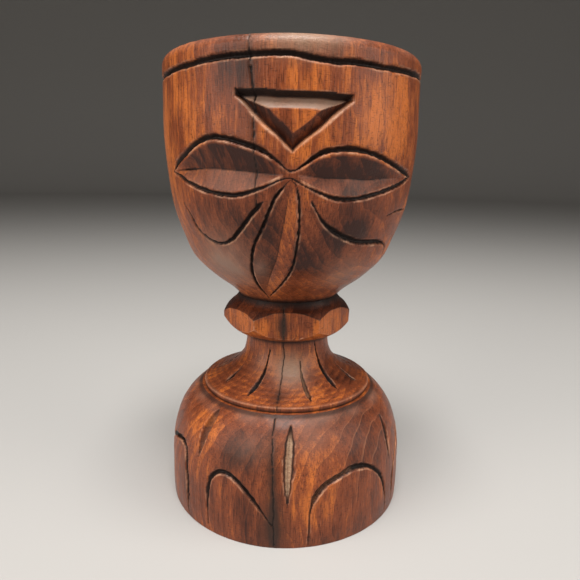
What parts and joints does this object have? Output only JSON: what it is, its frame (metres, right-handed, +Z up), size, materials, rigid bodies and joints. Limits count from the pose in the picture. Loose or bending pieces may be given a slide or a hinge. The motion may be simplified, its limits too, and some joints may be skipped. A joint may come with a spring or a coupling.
{
  "type": "communion chalice",
  "caption": "Carved wooden goblet: round bowl with leaf-shaped lines, faceted knop, flared stem and domed foot, turned and joined on a hidden dowel.",
  "frame": {"origin": "centre of the foot's underside, on the surface the chalice stands on", "axes": "+Z up along the turning axis, carved front towards -Y, +X to the right as seen from the front"},
  "size_m": [0.102, 0.102, 0.18],
  "materials": {
    "carved_bowl_wood": "stained and waxed, semi-gloss, dark in the carved lines",
    "carved_knop_wood": "stained and waxed, semi-gloss, worn pale on the edges of the flats",
    "carved_stem_wood": "stained and waxed, semi-gloss",
    "carved_foot_wood": "stained and waxed, semi-gloss, raw and pale in some cuts",
    "dowel_wood": "plain unfinished hardwood",
    "wedge_wood": "plain unfinished dark hardwood"
  },
  "bodies": {
    "root": {"bowl": "carved_bowl_wood", "knop": "carved_knop_wood", "stem": "carved_stem_wood", "foot": "carved_foot_wood", "centre_dowel": "dowel_wood", "dowel_wedge": "wedge_wood"}
  },
  "joints": []
}
